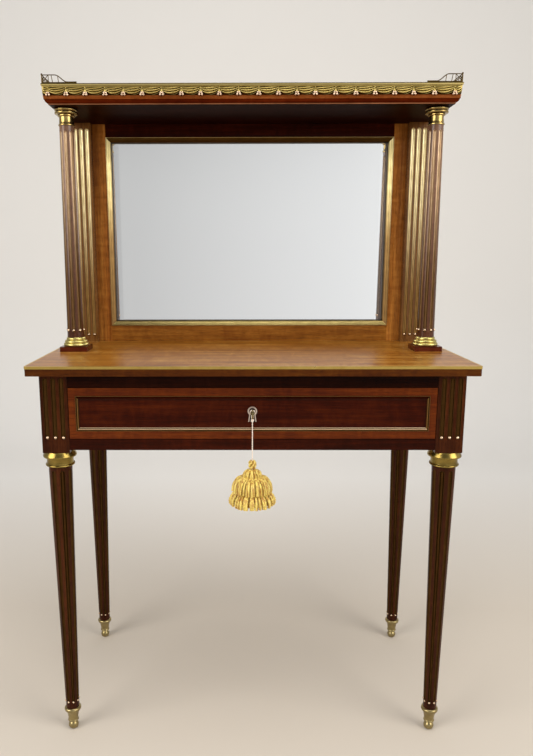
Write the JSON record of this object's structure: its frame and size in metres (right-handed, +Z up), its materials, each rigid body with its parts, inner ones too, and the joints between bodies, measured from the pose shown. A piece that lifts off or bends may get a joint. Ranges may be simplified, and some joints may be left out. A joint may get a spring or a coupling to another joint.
{
  "type": "dressing table",
  "caption": "Mahogany dressing table on turned, fluted legs, with a locking frieze drawer and a mirror under a small shelf that fluted columns and pilasters carry; gilt brass mounts.",
  "frame": {"origin": "on the floor, under the middle of the table top", "axes": "+Z up, the drawer and mirror face -Y, +X to the right of someone who faces them"},
  "size_m": [0.811, 0.4549, 1.2745],
  "materials": {
    "mahogany": "polished",
    "secondary_wood": "bare, planed",
    "gilt_brass": "gilt, soft sheen",
    "lock_brass": "plain, dull",
    "mirror_plate": "silvered, bevelled",
    "cord_silk": "twisted cord",
    "tassel_silk": "cut silk"
  },
  "bodies": {
    "table": {"table_top": "mahogany", "table_top_brass_edge": "gilt_brass", "front_top_rail": "mahogany", "front_bottom_rail": "mahogany", "side_apron_left": "mahogany", "side_apron_right": "mahogany", "back_apron": "mahogany", "drawer_runners": "secondary_wood", "drawer_kickers": "secondary_wood", "drawer_stops": "secondary_wood", "leg_flute_brass": "gilt_brass", "column_flute_brass": "gilt_brass", "pilaster_flute_brass": "gilt_brass", "pilaster_left": "mahogany", "pilaster_right": "mahogany", "mirror_stile_left": "mahogany", "mirror_stile_right": "mahogany", "mirror_rail_top": "mahogany", "mirror_rail_bottom": "mahogany", "mirror_moulding": "gilt_brass", "mirror_glass": "mirror_plate", "mirror_backboard": "secondary_wood", "shelf_board": "mahogany", "shelf_brass_strip": "gilt_brass", "swag_frieze": "gilt_brass", "shelf_gallery": "gilt_brass", "leg_front_left": "mahogany", "leg_collar_front_left": "gilt_brass", "foot_sabot_front_left": "gilt_brass", "leg_front_right": "mahogany", "leg_collar_front_right": "gilt_brass", "foot_sabot_front_right": "gilt_brass", "leg_rear_left": "mahogany", "leg_collar_rear_left": "gilt_brass", "foot_sabot_rear_left": "gilt_brass", "leg_rear_right": "mahogany", "leg_collar_rear_right": "gilt_brass", "foot_sabot_rear_right": "gilt_brass", "column_plinth_left": "mahogany", "column_base_left": "gilt_brass", "column_shaft_left": "mahogany", "column_capital_left": "gilt_brass", "column_plinth_right": "mahogany", "column_base_right": "gilt_brass", "column_shaft_right": "mahogany", "column_capital_right": "gilt_brass"},
    "drawer": {"drawer_front": "mahogany", "drawer_moulding": "gilt_brass", "drawer_side_left": "secondary_wood", "drawer_side_right": "secondary_wood", "drawer_back": "secondary_wood", "drawer_bottom": "secondary_wood", "key_escutcheon": "gilt_brass", "lock_case": "lock_brass", "lock_screws": "lock_brass"},
    "key": {"key": "gilt_brass"},
    "lock_bolt": {"lock_bolt": "lock_brass"},
    "tassel": {"key_cord": "cord_silk", "tassel_head": "tassel_silk", "tassel_skirt": "tassel_silk"}
  },
  "joints": [
    {"name": "drawer_slide", "type": "slide", "parent": "table", "child": "drawer", "axis": [0, -1, 0], "range_m": [0, 0.27]},
    {"name": "key_turn", "type": "hinge", "parent": "drawer", "child": "key", "pos_m": [0, -0.2, 0.6645], "axis": [0, 1, 0], "range_deg": [0, 180]},
    {"name": "bolt_slide", "type": "slide", "parent": "drawer", "child": "lock_bolt", "axis": [0, 0, 1], "range_m": [0, 0.007]},
    {"name": "tassel_swing", "type": "hinge", "parent": "drawer", "child": "tassel", "pos_m": [0, -0.2015, 0.6645], "axis": [0, 1, 0], "range_deg": [-20, 20]}
  ],
  "couplings": [
    {"joint": "key_turn", "follows": "bolt_slide", "rad_per_m": 448.8}
  ]
}
